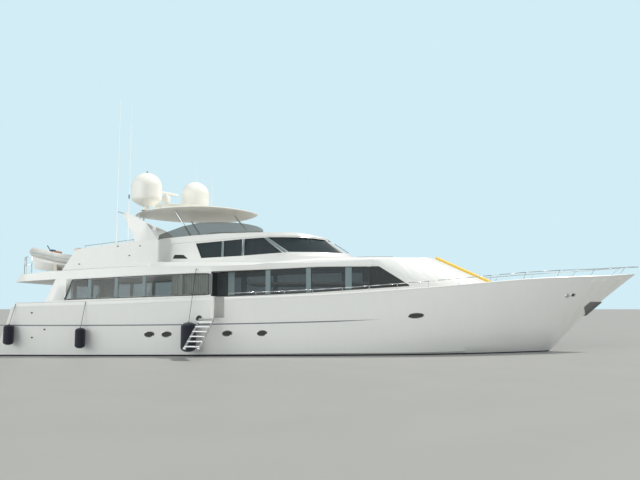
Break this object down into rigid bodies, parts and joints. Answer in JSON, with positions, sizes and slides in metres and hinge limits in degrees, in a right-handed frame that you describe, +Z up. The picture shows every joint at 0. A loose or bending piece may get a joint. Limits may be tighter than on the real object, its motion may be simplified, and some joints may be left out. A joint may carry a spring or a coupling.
{
  "type": "motor yacht",
  "caption": "Raised-pilothouse motor yacht with flybridge, hardtop with radomes, aft cockpit, tender on the upper deck, boarding steps, gates, rudders and propellers.",
  "frame": {"origin": "on the centreline at the waterline, midway along the hull", "axes": "+X to the bow, +Y to port, +Z up"},
  "size_m": [29.8621, 8.5627, 12.7382],
  "materials": {
    "gelcoat_white": "glossy painted gelcoat, slightly warm white",
    "interior_cream": "satin cream moulding",
    "dark_glass": "dark grey-green tinted safety glass",
    "smoked_acrylic": "smoked acrylic sheet",
    "teak": "bare laid teak",
    "stainless": "polished stainless steel",
    "bronze": "cast propeller bronze",
    "antifouling": "matt dark blue bottom paint",
    "fender_cover": "knitted near-black navy cover",
    "aluminium": "mill-finish aluminium",
    "tube_grey": "light grey inflatable-tube fabric",
    "motor_black": "gloss black outboard cowl"
  },
  "bodies": {
    "yacht": {"hull": "gelcoat_white", "bulwark_forward_port": "gelcoat_white", "bulwark_forward_starboard": "gelcoat_white", "bulwark_aft": "gelcoat_white", "swim_platform": "teak", "cap_rail_aft": "gelcoat_white", "cap_rail_forward": "gelcoat_white", "house_side_port": "gelcoat_white", "house_side_starboard": "gelcoat_white", "saloon_glass_port": "dark_glass", "saloon_glass_starboard": "dark_glass", "cabin_glass_port": "dark_glass", "cabin_glass_starboard": "dark_glass", "saloon_bulkhead": "gelcoat_white", "bulkhead_glass_port": "dark_glass", "bulkhead_glass_starboard": "dark_glass", "upper_deck": "gelcoat_white", "trunk": "gelcoat_white", "pilothouse_floor": "interior_cream", "pilothouse": "gelcoat_white", "pilothouse_glass": "dark_glass", "flybridge": "gelcoat_white", "fly_windscreen": "smoked_acrylic", "fly_helm": "interior_cream", "fly_seat": "interior_cream", "fly_steps": "gelcoat_white", "wing_port": "gelcoat_white", "wing_starboard": "gelcoat_white", "arch": "gelcoat_white", "hardtop": "gelcoat_white", "dome_starboard": "gelcoat_white", "dome_port": "gelcoat_white", "radar_mast": "gelcoat_white", "whip_aft": "gelcoat_white", "whip_forward": "gelcoat_white", "shaft_port": "stainless", "shaft_starboard": "stainless", "fender_aft": "fender_cover", "fender_middle": "fender_cover", "fender_forward": "fender_cover", "bow_rail": "stainless", "deck_rail_port": "stainless", "deck_rail_starboard": "stainless", "tender_tube": "tube_grey", "tender_hull": "gelcoat_white", "tender_console": "interior_cream", "tender_motor": "motor_black", "tender_chock_aft": "gelcoat_white", "tender_chock_forward": "gelcoat_white", "windlass": "stainless", "anchor": "stainless"},
    "saloon_door": {"saloon_door": "dark_glass"},
    "radar_scanner": {"radar_scanner": "gelcoat_white"},
    "propeller_port": {"propeller_port": "bronze"},
    "propeller_starboard": {"propeller_starboard": "bronze"},
    "rudder_port": {"rudder_port": "antifouling"},
    "rudder_starboard": {"rudder_starboard": "antifouling"},
    "gate_port": {"gate_port": "gelcoat_white"},
    "gate_starboard": {"gate_starboard": "gelcoat_white"},
    "boarding_steps": {"boarding_steps": "aluminium"}
  },
  "joints": [
    {"name": "propeller_port_spin", "type": "hinge", "parent": "yacht", "child": "propeller_port", "pos_m": [-11.6, 1.3, -1.2], "axis": [0.9903, 0, 0.1392], "continuous": true},
    {"name": "propeller_starboard_spin", "type": "hinge", "parent": "yacht", "child": "propeller_starboard", "pos_m": [-11.6, -1.3, -1.2], "axis": [0.9903, 0, 0.1392], "continuous": true},
    {"name": "rudder_port_turn", "type": "hinge", "parent": "yacht", "child": "rudder_port", "pos_m": [-12.7, 1.3, -0.9], "axis": [0, 0, 1], "range_deg": [-35, 35]},
    {"name": "rudder_starboard_turn", "type": "hinge", "parent": "yacht", "child": "rudder_starboard", "pos_m": [-12.7, -1.3, -0.9], "axis": [0, 0, 1], "range_deg": [-35, 35]},
    {"name": "radar_scanner_spin", "type": "hinge", "parent": "yacht", "child": "radar_scanner", "pos_m": [-7.35, 0, 7.4], "axis": [0, 0, 1], "continuous": true},
    {"name": "gate_port_hinge", "type": "hinge", "parent": "yacht", "child": "gate_port", "pos_m": [-4.54, 3.2473, 2], "axis": [0, 0, 1], "range_deg": [0, 90]},
    {"name": "gate_starboard_hinge", "type": "hinge", "parent": "yacht", "child": "gate_starboard", "pos_m": [-4.54, -3.2473, 2], "axis": [0, 0, 1], "range_deg": [0, 90]},
    {"name": "saloon_door_slide", "type": "slide", "parent": "yacht", "child": "saloon_door", "axis": [0, 1, 0], "range_m": [0, 0.9]},
    {"name": "boarding_steps_hinge", "type": "hinge", "parent": "yacht", "child": "boarding_steps", "pos_m": [-4.72, -3.29, 1.56], "axis": [1, 0, 0], "range_deg": [-12, 15]}
  ],
  "couplings": [
    {"joint": "rudder_starboard_turn", "follows": "rudder_port_turn", "ratio": 1}
  ]
}
